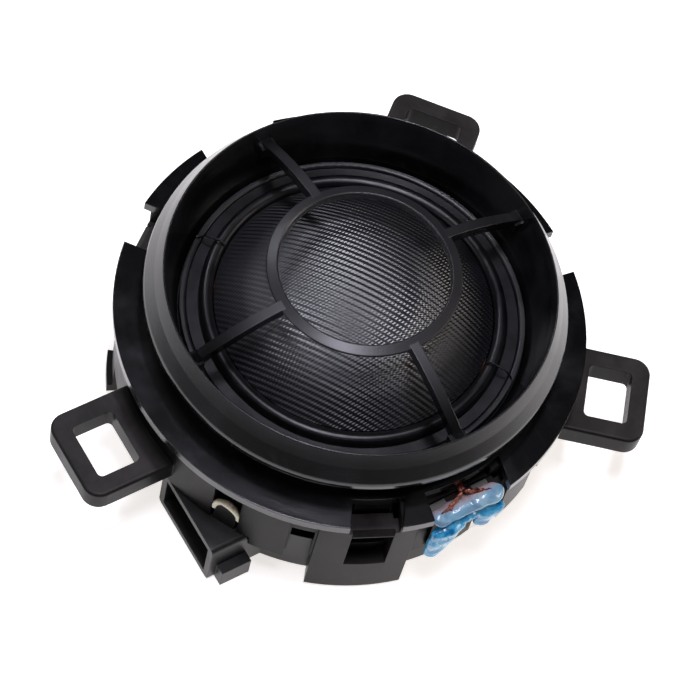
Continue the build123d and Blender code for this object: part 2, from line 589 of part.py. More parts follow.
def hook_up_wires():
    """Insulated wires: pin to capacitor, capacitor to one tag, pin to the other tag."""
    z = SOCKET_Z
    lower, upper = pin_places()
    tail_x = SOCKET_FLOOR_X + SOCKET_FLOOR_THICK + PIN_TAIL
    leg_z = BASE_Z + COVER_FLOOR + CAPACITOR_HEIGHT / 2
    near_leg_x = CAPACITOR_X - CAPACITOR_LEG
    far_leg_x = CAPACITOR_X + CAPACITOR_LENGTH + CAPACITOR_LEG
    tag_y = -WALL_INNER_R + TAG_REACH
    end_z = TAG_TAIL_Z + TAG_THICK / 2
    to_left_tag = [(-TAG_OFFSET, tag_y + 5.2, z), (-TAG_OFFSET, tag_y + 1.5, end_z),
                   (-TAG_OFFSET, tag_y, end_z)]
    to_right_tag = [(TAG_OFFSET, tag_y + 4.7, z), (TAG_OFFSET, tag_y + 1.5, end_z),
                    (TAG_OFFSET, tag_y, end_z)]
    to_near_leg = [(near_leg_x - 2.6, -0.6, leg_z), (near_leg_x - 1.3, 0, leg_z), (near_leg_x, 0, leg_z)]
    from_far_leg = [(far_leg_x, 0, leg_z), (far_leg_x + 1.4, 0, leg_z), (far_leg_x + 2.2, -2.6, leg_z),
                    (far_leg_x - 2.0, -9.0, z)]
    return {
        "wire_pin_to_capacitor": wire(
            [(tail_x, upper, z), (tail_x + 2.2, upper, z), *to_near_leg], 0.6, WIRE_R),
        "wire_capacitor_to_tag": wire([*from_far_leg, *to_right_tag], 0.8, WIRE_R),
        "wire_pin_to_tag": wire([(tail_x, lower, z), (tail_x + 1.8, lower, z), *to_left_tag], 0.8, WIRE_R),
    }


# ------------------------------------------------------------------- assembly
def main():
    os.makedirs("parts", exist_ok=True)
    save("front_bezel", front_bezel())
    save("housing", housing())
    save("rear_cover", rear_cover())
    save("sealing_bead", sealing_bead())
    save("pot", pot())
    save("magnet", disc(COIL_R - MAGNET_INSET, MAGNET_BOTTOM, PLATE_BOTTOM))
    save("pole_plate", disc(PLATE_R, PLATE_BOTTOM, FLANGE_BACK))
    save("damping_felt", disc(COIL_R - FELT_INSET, FLANGE_BACK, FLANGE_BACK + FELT_THICK))
    save("motor_adhesive", motor_adhesive())
    save("dome", dome())
    save("coil_former", tube(COIL_R, COIL_R - FORMER_THICK, coil_bottom() - 0.1, former_top()))
    save("coil_winding", tube(COIL_R + WINDING_THICK, COIL_R, coil_bottom(), coil_bottom() + WINDING_HEIGHT))
    save("surround", surround())
    save("dome_ring", dome_ring())
    for name, angle in LEAD_OUT_ANGLES.items():
        save(f"lead_out_wire_{name}", lead_out_wire(angle))
    for name, side in (("left", -1), ("right", 1)):
        save(f"solder_tag_{name}", solder_tag(side))
        save(f"litz_lead_{name}", litz_lead(side))
        save(f"lacquer_drop_{name}", lacquer_drop(side))
    for name, pin_y in zip(("left", "right"), pin_places()):
        save(f"terminal_pin_{name}", terminal_pin(pin_y))
    save("capacitor", capacitor())
    for name, side in (("near", -1), ("far", 1)):
        save(f"capacitor_leg_{name}", capacitor_leg(side))
    for name, shape in hook_up_wires().items():
        save(name, shape)


main()
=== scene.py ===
# %% [markdown]
# # A car tweeter, dressed over its CAD frame
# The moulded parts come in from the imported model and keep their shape, so this
# lesson gives them their finish. The soft and hand-made pieces are modelled
# here: the woven dome and its roll, the blue lacquer over the solder tags, the
# copper litz leads and the bead of hot-melt glue. All lengths are in metres.

# %% Load the frame
import math
import random

import bpy
from mathutils import Matrix, Vector, noise


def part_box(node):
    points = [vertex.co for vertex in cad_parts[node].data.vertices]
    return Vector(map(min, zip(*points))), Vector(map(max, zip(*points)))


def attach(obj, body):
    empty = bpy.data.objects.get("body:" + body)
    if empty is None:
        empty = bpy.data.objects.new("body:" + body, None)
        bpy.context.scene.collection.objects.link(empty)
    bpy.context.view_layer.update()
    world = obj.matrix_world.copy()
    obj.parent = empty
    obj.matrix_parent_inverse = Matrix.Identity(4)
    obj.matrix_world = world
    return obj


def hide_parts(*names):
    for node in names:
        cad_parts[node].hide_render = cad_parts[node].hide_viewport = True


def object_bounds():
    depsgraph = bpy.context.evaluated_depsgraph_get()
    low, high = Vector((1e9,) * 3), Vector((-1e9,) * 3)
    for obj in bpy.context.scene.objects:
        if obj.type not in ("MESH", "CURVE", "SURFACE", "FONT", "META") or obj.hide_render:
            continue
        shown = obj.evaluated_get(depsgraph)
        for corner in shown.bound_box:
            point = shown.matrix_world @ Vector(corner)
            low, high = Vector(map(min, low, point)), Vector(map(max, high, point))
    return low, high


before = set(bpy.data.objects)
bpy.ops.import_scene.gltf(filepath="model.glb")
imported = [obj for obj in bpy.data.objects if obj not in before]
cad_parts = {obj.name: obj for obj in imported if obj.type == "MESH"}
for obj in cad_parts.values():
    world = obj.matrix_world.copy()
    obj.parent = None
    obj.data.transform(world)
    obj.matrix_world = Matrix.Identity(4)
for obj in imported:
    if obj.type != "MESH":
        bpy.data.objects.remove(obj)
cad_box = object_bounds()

MM = 0.001
CHASSIS = "chassis"
MOVING = "diaphragm_assembly"
print("frame loaded:", len(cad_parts), "nodes")

# %% [markdown]
# ## Colour and node helpers
# Every finish here is a small tree of shader nodes. The nodes could be added one
# call at a time, which takes four lines each. One function that adds a node with
# its settings, sockets and ramp stops keeps a material readable as a short list
# of what feeds what. Colours are picked as sRGB hex and turned to linear once.

# %% Colour and node helpers
def linear(hex_code):
    """Turns an sRGB hex code into a linear colour with alpha."""
    parts = [int(hex_code[i:i + 2], 16) / 255 for i in (1, 3, 5)]
    return tuple(c / 12.92 if c <= 0.04045 else ((c + 0.055) / 1.055) ** 2.4
                 for c in parts) + (1.0,)


def new_material(name):
    """Makes a node material and hands back its tree and its shader too."""
    material = bpy.data.materials.new(name)
    material.use_nodes = True
    tree = material.node_tree
    return material, tree, tree.nodes["Principled BSDF"]


def fill(tree, node, sockets):
    """Sets sockets by name or number: a node feeds its first output, anything else is a value."""
    for key, value in sockets.items():
        if isinstance(value, bpy.types.Node):
            value = value.outputs[0]
        if isinstance(value, bpy.types.NodeSocket):
            tree.links.new(value, node.inputs[key])
        else:
            node.inputs[key].default_value = linear(value) if isinstance(value, str) else value


def add(tree, kind, sockets, settings=None, stops=()):
    """Adds one node with its sockets, its settings and, for a ramp, its (place, hex) stops."""
    node = tree.nodes.new("ShaderNode" + kind)
    for key, value in (settings or {}).items():
        setattr(node, key, value)
    fill(tree, node, sockets)
    for index, (place, colour) in enumerate(stops):
        if index >= len(node.color_ramp.elements):
            node.color_ramp.elements.new(place)
        node.color_ramp.elements[index].position = place
        node.color_ramp.elements[index].color = linear(colour)
    return node


print("near-black ABS in linear light:", [round(part, 4) for part in linear("#0a0a0b")[:3]])

# %% [markdown]
# ## Moulded ABS
# Tweeter housings are injection moulded in black ABS. The tool is lightly spark
# eroded, which leaves a satin grain about a sixth of a millimetre across, and
# handling adds smears and hairline rubs that only show in the gloss. A painted
# colour map could carry the smears, but the plastic's colour hardly varies, so
# nearly all of the look is put in roughness and bump. High on the guard the
# plastic is made rougher and lightened with painted sheen. The Bevel node rounds
# the edges a little in shading, as a mould does, without touching the CAD mesh.

# %% Moulded ABS material
GRAIN = 0.16 * MM           # spark-eroded grain
GRAIN_DEPTH = 0.012 * MM
SMEAR = 4.5 * MM            # smears from handling
EDGE = 0.13 * MM            # radius that the mould leaves on every edge
# painted sheen: between these heights the guard turns rougher and its colour is lightened toward
# grey, standing in for the sheen on its top
WEAR_AND_SHEEN_Z = (5.2 * MM, 7.2 * MM)   # heights between which fingers dull the guard
WORN_GLOSS = 0.34           # roughness where they have
PAINTED_SHEEN_GREY = 0.3             # and how far the plastic greys
DUST = "#8d8783"
DUST_SLOPE = (0.55, 0.95)   # how level a face is where dust starts and where it is thick


def moulded_abs(name, dark, light, gloss_low, gloss_high, smear_light, shine, dust):
    """Injection-moulded ABS: near-black, satin, with smears, rubs, dust on its ledges and painted
    sheen high on the guard.
    """
    material, tree, shader = new_material(name)
    here = add(tree, "TexCoord", {})
    place = here.outputs["Object"]
    grain = add(tree, "TexNoise", {"Vector": place, "Scale": 1 / GRAIN, "Detail": 2.0})
    smear = add(tree, "TexNoise", {"Vector": place, "Scale": 1 / SMEAR, "Detail": 5.0,
                                   "Roughness": 0.6})
    patch = add(tree, "TexNoise", {"Vector": place, "Scale": 0.42 / SMEAR, "Detail": 2.0})
    both = add(tree, "Math", {0: smear, 1: patch}, {"operation": "MULTIPLY"})
    smears = add(tree, "MapRange", {"Value": both, "From Min": 0.22, "From Max": 0.40})
    drawn_out = add(tree, "Mapping", {"Vector": place, "Scale": (9.0, 1.0, 2.0),
                                      "Rotation": (0.2, 0.1, 0.6)})
    rubs = add(tree, "TexNoise", {"Vector": drawn_out, "Scale": 0.9 / SMEAR, "Detail": 6.0})
    rub_lines = add(tree, "MapRange", {"Value": rubs, "From Min": 0.60, "From Max": 0.74})
    mask = add(tree, "Math", {0: smears, 1: rub_lines}, {"operation": "MAXIMUM"})
    faint = add(tree, "Math", {0: mask, 1: smear_light}, {"operation": "MULTIPLY"})
    colour = add(tree, "Mix", {"Factor": faint, 6: dark, 7: light}, {"data_type": "RGBA"})
    gloss = add(tree, "MapRange", {"Value": smears, "To Min": gloss_low, "To Max": gloss_high})
    height = add(tree, "SeparateXYZ", {0: place}).outputs["Z"]
    # painted sheen: the colour greys with height on the guard, while its roughness rises too
    wear_and_sheen = add(tree, "MapRange", {"Value": height, "From Min": WEAR_AND_SHEEN_Z[0], "From Max": WEAR_AND_SHEEN_Z[1]})
    rubbed = add(tree, "Mix", {"Factor": wear_and_sheen, 2: gloss, 3: WORN_GLOSS}, {"data_type": "FLOAT"})
    painted_sheen = add(tree, "Math", {0: wear_and_sheen, 1: PAINTED_SHEEN_GREY}, {"operation": "MULTIPLY"})
    sheened = add(tree, "Mix", {"Factor": painted_sheen, 6: colour.outputs[2], 7: light},
                  {"data_type": "RGBA"})
    facing = add(tree, "SeparateXYZ", {0: here.outputs["Normal"]})
    level = add(tree, "MapRange", {"Value": facing.outputs["Z"], "From Min": DUST_SLOPE[0],
                                   "From Max": DUST_SLOPE[1], "To Max": dust})
    settled = add(tree, "Math", {0: level, 1: smear}, {"operation": "MULTIPLY"})
    dusty = add(tree, "Mix", {"Factor": settled, 6: sheened.outputs[2], 7: DUST},
                {"data_type": "RGBA"})
    edges = add(tree, "Bevel", {"Radius": EDGE}, {"samples": 6})
    bump = add(tree, "Bump", {"Height": grain, "Distance": GRAIN_DEPTH, "Strength": 0.5,
                              "Normal": edges})
    fill(tree, shader, {"Base Color": dusty.outputs[2], "Normal": bump, "Roughness": rubbed,
                        "IOR": 1.54, "Specular IOR Level": shine})
    return material


print("grain", GRAIN / MM, "mm, smears", SMEAR / MM, "mm")

# %% [markdown]
# ## Four ABS mouldings
# The bezel, the housing, the rear cover and the ring that clamps the dome come
# from different tools. One black for all would look like one piece, so each has
# its own tint, gloss and dust. The bezel is the glossiest and is free of dust.

# %% ABS finishes
# name, plastic, smears, roughness (clean, smeared), strength of smears, shine, dust
bezel_abs = moulded_abs("bezel_moulded_ABS", "#080809", "#3a383a", 0.17, 0.23, 0.22, 0.55, 0.0)
housing_abs = moulded_abs("housing_moulded_ABS", "#0f0d0c", "#2e2926", 0.34, 0.48, 0.4, 0.10, 0.2)
cover_abs = moulded_abs("cover_moulded_ABS", "#0b0a0a", "#262424", 0.38, 0.50, 0.35, 0.30, 0.2)
ring_abs = moulded_abs("dome_ring_moulded_ABS", "#0a0a0c", "#242426", 0.32, 0.45, 0.35, 0.40, 0.0)
print("ABS finishes: bezel, housing, cover, dome ring")

# %% [markdown]
# ## Plated metals
# The tags, the pins, the magnet and the coil's foil former are pale metals; what
# tells them apart is how rough they are. Each could have its own node tree, but
# one recipe with two tints and two limits of roughness serves for all of them.

# %% Plated metals
def plated_metal(name, pale, deep, rough_low, rough_high):
    """Bright plate or foil: cloudy stains in its colour and its polish."""
    material, tree, shader = new_material(name)
    place = add(tree, "TexCoord", {}).outputs["Object"]
    cloud = add(tree, "TexNoise", {"Vector": place, "Scale": 1 / (2.5 * MM), "Detail": 4.0})
    fine = add(tree, "TexNoise", {"Vector": place, "Scale": 1 / (0.2 * MM), "Detail": 2.0})
    tint = add(tree, "ValToRGB", {"Fac": cloud}, stops=((0.35, pale), (0.75, deep)))
    polish = add(tree, "MapRange", {"Value": cloud, "To Min": rough_low, "To Max": rough_high})
    bump = add(tree, "Bump", {"Height": fine, "Distance": 0.008 * MM, "Strength": 0.4})
    fill(tree, shader, {"Base Color": tint, "Metallic": 1.0, "Normal": bump, "Roughness": polish})
    return material


tin_plate = plated_metal("bright_tin_plate", "#d6d4cc", "#a7a49a", 0.22, 0.42)
nickel_plate = plated_metal("barrel_nickel_plate", "#cfcabd", "#a39d8e", 0.15, 0.30)
former_foil = plated_metal("rolled_aluminium_foil", "#dcdcdc", "#b8b8b8", 0.25, 0.40)
print("pale metals: tin, nickel, foil")

# %% [markdown]
# ## Turned steel
# The pot and the pole plate are turned from steel and zinc plated, and fine
# circular tool marks show through round the axis. They could be modelled, but at
# a hundredth of a millimetre a ringed wave texture does it better.

# %% Turned steel
def turned_zinc_steel(name):
    """Zinc-plated turned steel: rings of tool marks about the speaker axis."""
    material, tree, shader = new_material(name)
    place = add(tree, "TexCoord", {}).outputs["Object"]
    rings = add(tree, "TexWave", {"Vector": place, "Scale": 0.3 / (0.25 * MM), "Distortion": 1.5},
                {"wave_type": "RINGS", "rings_direction": "Z"})
    cloud = add(tree, "TexNoise", {"Vector": place, "Scale": 1 / (4.0 * MM), "Detail": 4.0})
    tint = add(tree, "ValToRGB", {"Fac": cloud}, stops=((0.35, "#b9bcc0"), (0.7, "#8f8f8d")))
    polish = add(tree, "MapRange", {"Value": cloud, "To Min": 0.28, "To Max": 0.45})
    bump = add(tree, "Bump", {"Height": rings, "Distance": 0.01 * MM, "Strength": 0.5})
    fill(tree, shader, {"Base Color": tint, "Metallic": 1.0, "Normal": bump, "Roughness": polish})
    return material


zinc_steel = turned_zinc_steel("turned_zinc_steel")
print("turned metal:", zinc_steel.name)

# %% [markdown]
# ## Copper
# Litz strands are bare drawn copper and go reddish brown where flux and air
# reached them. The coil's wire is the same metal under clear enamel. Enamel could
# be a second mesh over the first, but a coat on the shader is enough at this size.

# %% Copper materials
def drawn_copper(name, bright, stained, enamel):
    """Drawn copper, stained in patches, with as much clear coat as it has enamel."""
    material, tree, shader = new_material(name)
    place = add(tree, "TexCoord", {}).outputs["Object"]
    stain = add(tree, "TexNoise", {"Vector": place, "Scale": 1 / (0.9 * MM), "Detail": 4.0})
    tint = add(tree, "ValToRGB", {"Fac": stain}, stops=((0.38, stained), (0.62, bright)))
    polish = add(tree, "MapRange", {"Value": stain, "To Min": 0.50, "To Max": 0.28})
    lay = add(tree, "TexWave", {"Vector": place, "Scale": 0.3 / (0.2 * MM), "Distortion": 0.6},
              {"bands_direction": "Z"})
    bump = add(tree, "Bump", {"Height": lay, "Distance": 0.02 * MM, "Strength": 0.4})
    fill(tree, shader, {"Base Color": tint, "Metallic": 0.85, "Coat Weight": enamel,
                        "Coat Roughness": 0.12, "Normal": bump, "Roughness": polish})
    return material


litz_copper = drawn_copper("bare_drawn_copper", "#c9806c", "#5a2520", 0.25)
coil_copper = drawn_copper("enamelled_copper", "#b5653c", "#7d3a1f", 0.8)
print("copper finishes: bare litz, enamelled coil")

# %% [markdown]
# ## Blue lacquer
# Lacquer seals the soldered leads. It dries thick and glassy: nearly clear where
# it runs out on the ledge, milky on top and deep blue where it hangs down the
# wall, and the crease between the two is darkened with painted shade. A flat blue
# with gloss would look like paint, so its colour follows the height, the distance
# from the axis, a soft noise and painted shade in the hollows, and light goes a
# little way into it.

# %% Lacquer material
LEDGE_REACH = (20.1 * MM, 20.8 * MM)    # from clear skin on the ledge to blue at the wall
MILKY_Z = (-2.9 * MM, -1.9 * MM)        # from clear blue on the wall to milky on top
MILKY = 0.50                            # and how milky that gets


def cured_lacquer(name):
    """Brushed-on lacquer: thick, glossy, milky in patches and nearly clear where thin."""
    material, tree, shader = new_material(name)
    place = add(tree, "TexCoord", {}).outputs["Object"]
    pool = add(tree, "TexNoise", {"Vector": place, "Scale": 1 / (1.5 * MM), "Detail": 4.0,
                                  "Roughness": 0.6, "Distortion": 0.8})
    blue = add(tree, "ValToRGB", {"Fac": pool},
               stops=((0.34, "#0b6a9c"), (0.47, "#2f9ccc"), (0.58, "#68b6d6"), (0.72, "#9cc0cc")))
    height = add(tree, "SeparateXYZ", {0: place}).outputs["Z"]
    thin = add(tree, "MapRange", {"Value": height, "From Min": MILKY_Z[0], "From Max": MILKY_Z[1],
                                  "To Max": MILKY})
    milky = add(tree, "Mix", {"Factor": thin, 6: blue, 7: "#a9bcc4"}, {"data_type": "RGBA"})
    flat = add(tree, "VectorMath", {0: place, 1: (1.0, 1.0, 0.0)}, {"operation": "MULTIPLY"})
    reach = add(tree, "VectorMath", {0: flat}, {"operation": "LENGTH"}).outputs["Value"]
    run_out = add(tree, "MapRange", {"Value": reach, "From Min": LEDGE_REACH[0],
                                     "From Max": LEDGE_REACH[1]})
    body = add(tree, "Mix", {"Factor": run_out, 6: "#b9a6a8", 7: milky.outputs[2]},
               {"data_type": "RGBA"})
    # painted shade: hollows, where pointiness is low, are darkened toward deep teal
    hollow = add(tree, "NewGeometry", {}).outputs["Pointiness"]
    painted_crease_shade = add(tree, "ValToRGB", {"Fac": hollow}, stops=((0.44, "#1d4450"), (0.495, "#ffffff")))
    colour = add(tree, "Mix", {"Factor": 1.0, 6: body.outputs[2], 7: painted_crease_shade},
                 {"data_type": "RGBA", "blend_type": "MULTIPLY"})
    skin = add(tree, "TexNoise", {"Vector": place, "Scale": 1 / (0.7 * MM), "Detail": 3.0})
    bump = add(tree, "Bump", {"Height": skin, "Distance": 0.08 * MM, "Strength": 0.7})
    polish = add(tree, "MapRange", {"Value": pool, "To Min": 0.14, "To Max": 0.36})
    fill(tree, shader, {"Base Color": colour.outputs[2], "Roughness": polish, "IOR": 1.5,
                        "Coat Weight": 0.5, "Coat Roughness": 0.06, "Normal": bump,
                        "Subsurface Weight": 0.2, "Subsurface Scale": 0.6 * MM,
                        "Subsurface Radius": (0.3, 0.7, 1.0)})
    return material


blue_lacquer = cured_lacquer("cured_blue_lacquer")
print("lacquer:", blue_lacquer.name)

# %% [markdown]
# ## Glue, epoxy and PVC
# Hot-melt, the motor's adhesive, the capacitor's epoxy and the wires' PVC differ
# mostly in colour. Each has a soft gloss that changes from place to place. Plain
# colours would do for the hidden ones, but the same recipe gives them all a cast
# or melted skin, and hot-melt, which is waxy, lets the most light in.

# %% Glue, epoxy and PVC materials
def waxy_polymer(name, pale, deep, depth, rough_low, rough_high):
    """Melted or cast polymer: cloudy colour, soft gloss, a little light inside."""
    material, tree, shader = new_material(name)
    place = add(tree, "TexCoord", {}).outputs["Object"]
    cloud = add(tree, "TexNoise", {"Vector": place, "Scale": 1 / (1.2 * MM), "Detail": 3.0})
    tint = add(tree, "ValToRGB", {"Fac": cloud}, stops=((0.35, pale), (0.7, deep)))
    polish = add(tree, "MapRange", {"Value": cloud, "To Min": rough_low, "To Max": rough_high})
    bump = add(tree, "Bump", {"Height": cloud, "Distance": 0.06 * MM, "Strength": 0.6})
    fill(tree, shader, {"Base Color": tint, "Normal": bump, "Subsurface Weight": depth,
                        "Subsurface Scale": 0.8 * MM, "Roughness": polish})
    return material


# name, pale tint, deep tint, how much light goes in, roughness (low, high)
hot_melt = waxy_polymer("cream_hot_melt", "#efe9d6", "#d9cfae", 0.3, 0.28, 0.5)
motor_glue = waxy_polymer("black_motor_adhesive", "#2b2b28", "#161614", 0.1, 0.3, 0.5)
film_case = waxy_polymer("cast_epoxy_case", "#c49a2e", "#a87f1d", 0.1, 0.3, 0.45)
wire_red = waxy_polymer("red_PVC_insulation", "#a81c17", "#8c1410", 0.1, 0.35, 0.5)
wire_black = waxy_polymer("black_PVC_insulation", "#1a1a1a", "#0f0f0f", 0.0, 0.35, 0.5)
coat_black = waxy_polymer("black_damping_coat", "#141416", "#0b0b0c", 0.0, 0.3, 0.45)
print("polymers: hot-melt, adhesive, epoxy, two PVCs, black coat")

# %% [markdown]
# ## Felt
# A pad of grey wool felt behind the dome damps its back wave. Hair could be grown
# on it, but nobody sees it through the dome, so a fibrous noise is enough.

# %% Felt material
def pressed_felt(name):
    """Grey wool felt: short fibres pressed in every direction."""
    material, tree, shader = new_material(name)
    place = add(tree, "TexCoord", {}).outputs["Object"]
    fibre = add(tree, "TexNoise", {"Vector": place, "Scale": 1 / (0.25 * MM), "Detail": 6.0,
                                   "Distortion": 2.0})
    tint = add(tree, "ValToRGB", {"Fac": fibre}, stops=((0.3, "#3a3a3a"), (0.7, "#7c7c7a")))
    nap = add(tree, "MapRange", {"Value": fibre, "To Min": 0.85, "To Max": 0.98})
    bump = add(tree, "Bump", {"Height": fibre, "Distance": 0.1 * MM, "Strength": 0.8})
    fill(tree, shader, {"Base Color": tint, "Normal": bump, "Roughness": nap, "Sheen Weight": 0.3})
    return material


felt = pressed_felt("pressed_wool_felt")
print("felt:", felt.name)

# %% [markdown]
# ## Coated cloth
# The dome is a woven cloth, heat-formed and coated so that it is airtight. Thick
# yarns make ribs about half a millimetre apart, and each rib carries the
# crossings of the thin yarns. A tiled picture of cloth would smear at the rim,
# so the weave is worked out from each point's place along and across the yarns,
# which the dome carries as a map.

# %% Coated cloth material
RIB_PITCH = 0.56 * MM
YARN_PITCH = 0.33 * MM
WEAVE_MAP = "weave"
COAT_THICKENS = (8.0 * MM, 10.5 * MM)   # distances from the axis between which it turns dull
COAT_SHINE = (0.85, 0.22)               # shine inside the first and beyond the second


def coated_cloth(name, valley, crown, weave_depth):
    """Woven cloth under a thin coat: painted sheen lightens the crowns of the ribs and painted
    shade darkens the valleys.
    """
    material, tree, shader = new_material(name)
    place = add(tree, "TexCoord", {}).outputs["Object"]
    weave_place = add(tree, "UVMap", {}, {"uv_map": WEAVE_MAP})
    axes = add(tree, "SeparateXYZ", {0: weave_place})
    rib_turn = add(tree, "Math", {0: axes.outputs["X"], 1: 2 * math.pi / RIB_PITCH},
                   {"operation": "MULTIPLY"})
    rib = add(tree, "Math", {0: rib_turn}, {"operation": "COSINE"})
    yarn_turn = add(tree, "Math", {0: axes.outputs["Y"], 1: 2 * math.pi / YARN_PITCH, 2: rib_turn},
                    {"operation": "MULTIPLY_ADD"})
    yarn = add(tree, "Math", {0: yarn_turn}, {"operation": "SINE"})
    weave = add(tree, "Math", {0: yarn, 1: 0.6, 2: rib}, {"operation": "MULTIPLY_ADD"})
    height = add(tree, "MapRange", {"Value": weave, "From Min": -1.6, "From Max": 1.6})
    cloud = add(tree, "TexNoise", {"Vector": place, "Scale": 1 / (3.0 * MM), "Detail": 4.0})
    # painted light: the weave's crowns get painted sheen and its valleys painted shade
    tint = add(tree, "ValToRGB", {"Fac": height}, stops=((0.25, valley), (0.9, crown)))
    gloss = add(tree, "MapRange", {"Value": cloud, "To Min": 0.34, "To Max": 0.42})
    flat = add(tree, "VectorMath", {0: place, 1: (1.0, 1.0, 0.0)}, {"operation": "MULTIPLY"})
    reach = add(tree, "VectorMath", {0: flat}, {"operation": "LENGTH"}).outputs["Value"]
    shine = add(tree, "MapRange", {"Value": reach, "From Min": COAT_THICKENS[0],
                                   "From Max": COAT_THICKENS[1], "To Min": COAT_SHINE[0],
                                   "To Max": COAT_SHINE[1]})
    bump = add(tree, "Bump", {"Height": height, "Distance": weave_depth, "Strength": 1.0})
    fill(tree, shader, {"Base Color": tint, "Normal": bump, "IOR": 1.8, "Roughness": gloss,
                        "Specular IOR Level": shine})
    return material


# the valley colour is painted shade, the crown colour painted sheen
dome_cloth = coated_cloth("dome_coated_weave", "#050507", "#1c1c20", 0.07 * MM)
print("cloth:", dome_cloth.name)

# %% [markdown]
# ## Damped cloth
# The roll round the dome is the same cloth under a thick tacky coat, which fills
# the weave and leaves it smooth and dark. The ribbed recipe could be turned down
# until its ribs are gone, but a short recipe of its own is easier to read.

# %% Damped cloth material
def damped_cloth(name, dark, light):
    """Cloth under a thick damping coat: smooth, dark, brushed on in faint runs."""
    material, tree, shader = new_material(name)
    place = add(tree, "TexCoord", {}).outputs["Object"]
    runs = add(tree, "TexNoise", {"Vector": place, "Scale": 1 / (1.6 * MM), "Detail": 3.0})
    tint = add(tree, "ValToRGB", {"Fac": runs}, stops=((0.35, dark), (0.7, light)))
    gloss = add(tree, "MapRange", {"Value": runs, "To Min": 0.26, "To Max": 0.40})
    bump = add(tree, "Bump", {"Height": runs, "Distance": 0.05 * MM, "Strength": 0.35})
    fill(tree, shader, {"Base Color": tint, "Normal": bump, "Roughness": gloss,
                        "Specular IOR Level": 0.35})
    return material


roll_cloth = damped_cloth("roll_damped_cloth", "#060607", "#101012")
print("cloth:", roll_cloth.name)

# %% [markdown]
# ## Give the CAD nodes their finish
# The moulded, turned and stamped pieces keep their CAD meshes: they have sharp
# edges and exact fits that would gain nothing from being modelled again. A table
# pairs each node with its finish, and assigning to the slot leaves the mesh
# alone.

# %% Dress the CAD nodes
FINISHES = {
    bezel_abs: ["front_bezel"],
    housing_abs: ["housing"],
    cover_abs: ["rear_cover"],
    ring_abs: ["dome_ring"],
    zinc_steel: ["pot", "pole_plate"],
    nickel_plate: ["magnet"],
    felt: ["damping_felt"],
    motor_glue: ["motor_adhesive"],
    former_foil: ["coil_former"],
    coil_copper: ["coil_winding"],
    coat_black: ["lead_out_wire_left", "lead_out_wire_right"],
    tin_plate: ["solder_tag_left", "solder_tag_right", "terminal_pin_left", "terminal_pin_right",
                "capacitor_leg_near", "capacitor_leg_far"],
    film_case: ["capacitor"],
    wire_red: ["wire_pin_to_capacitor", "wire_capacitor_to_tag"],
    wire_black: ["wire_pin_to_tag"],
    hot_melt: ["sealing_bead"],
    litz_copper: ["litz_lead_left", "litz_lead_right"],
    blue_lacquer: ["lacquer_drop_left", "lacquer_drop_right"],
    dome_cloth: ["dome"],
    roll_cloth: ["surround"],
}
for finish, names in FINISHES.items():
    for node_name in names:
        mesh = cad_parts[node_name].data
        mesh.materials.clear()
        mesh.materials.append(finish)
print("finishes given to", sum(len(names) for names in FINISHES.values()), "nodes")

# %% [markdown]
# ## Modelling helpers
# Every operator works on what is selected, so each piece starts by clearing the
# selection. A finished piece could keep its move and its scale on the object, but
# then they would add up with the body it rides on, so they are applied to the
# mesh, and its object stands at the origin as the CAD nodes' objects do.

# %% Modelling helpers
SMOOTH_ANGLE = math.radians(50)     # edges sharper than this stay sharp in shading


def clear_selection():
    """Leaves edit mode and deselects everything."""
    if bpy.context.object and bpy.context.object.mode != "OBJECT":
        bpy.ops.object.mode_set(mode="OBJECT")
    bpy.ops.object.select_all(action="DESELECT")


def finish_piece(piece, name, material, body, slot, *nodes):
    """Names a piece, applies its transform, gives it its finish and ties it to the frame."""
    clear_selection()
    piece.select_set(True)
    bpy.context.view_layer.objects.active = piece
    bpy.ops.object.transform_apply(location=True, rotation=True, scale=True)
    piece.name = name
    piece.data.name = name
    piece.data.materials.clear()
    piece.data.materials.append(material)
    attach(piece, body)
    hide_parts(*nodes)
    print(name, "has", len(piece.data.polygons), "faces")


def apply_modifier(piece, kind, **settings):
    """Adds a modifier of this kind and applies it at once."""
    modifier = piece.modifiers.new(kind.lower(), kind)
    for key, value in settings.items():
        setattr(modifier, key, value)
    bpy.context.view_layer.objects.active = piece
    bpy.ops.object.modifier_apply(modifier=modifier.name)


print("faces smooth up to", round(math.degrees(SMOOTH_ANGLE)), "degrees")

# %% [markdown]
# ## The woven dome
# A flat woven cloth is heated and pulled into a cap, with a short skirt that is
# glued to the coil's former. The ribs stay parallel in the middle and gather a
# little toward the rim. Their height could come from a bump alone, but a few
# hundredths of a millimetre of real relief keep the outline right. First come
# the cap's size and the shape of the weave.

# %% Dome size and weave
low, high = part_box("dome")
DOME_RIM = high.x
DOME_TOP = high.z
HEM_Z = low.z
SKIRT = 0.7 * MM
RIB_DIRECTION = math.radians(35.2)     # across the ribs, in the frame's XY plane
RIB_HEIGHT = 0.030 * MM
YARN_SHARE = 0.5                       # height of the thin yarns beside the ribs
GATHER = 0.0009 / MM ** 2              # grows with the square of the distance from the top

cap_height = DOME_TOP - (HEM_Z + SKIRT)
sphere_r = (DOME_RIM ** 2 + cap_height ** 2) / (2 * cap_height)
centre_z = DOME_TOP - sphere_r


def yarn_place(x, y):
    """Place across and along the ribs; forming gathers the cloth a little toward the rim."""
    gather = 1 + GATHER * (x * x + y * y)
    across = x * math.cos(RIB_DIRECTION) + y * math.sin(RIB_DIRECTION)
    along = y * math.cos(RIB_DIRECTION) - x * math.sin(RIB_DIRECTION)
    return across * gather, along * gather


def weave_height(x, y):
    """How far the cloth's face lies below the highest crown of the weave."""
    across, along = yarn_place(x, y)
    rib_turn = 2 * math.pi * across / RIB_PITCH
    yarn = math.sin(2 * math.pi * along / YARN_PITCH + rib_turn)
    return RIB_HEIGHT * (math.cos(rib_turn) - 1 + YARN_SHARE * (yarn - 1)) / 2


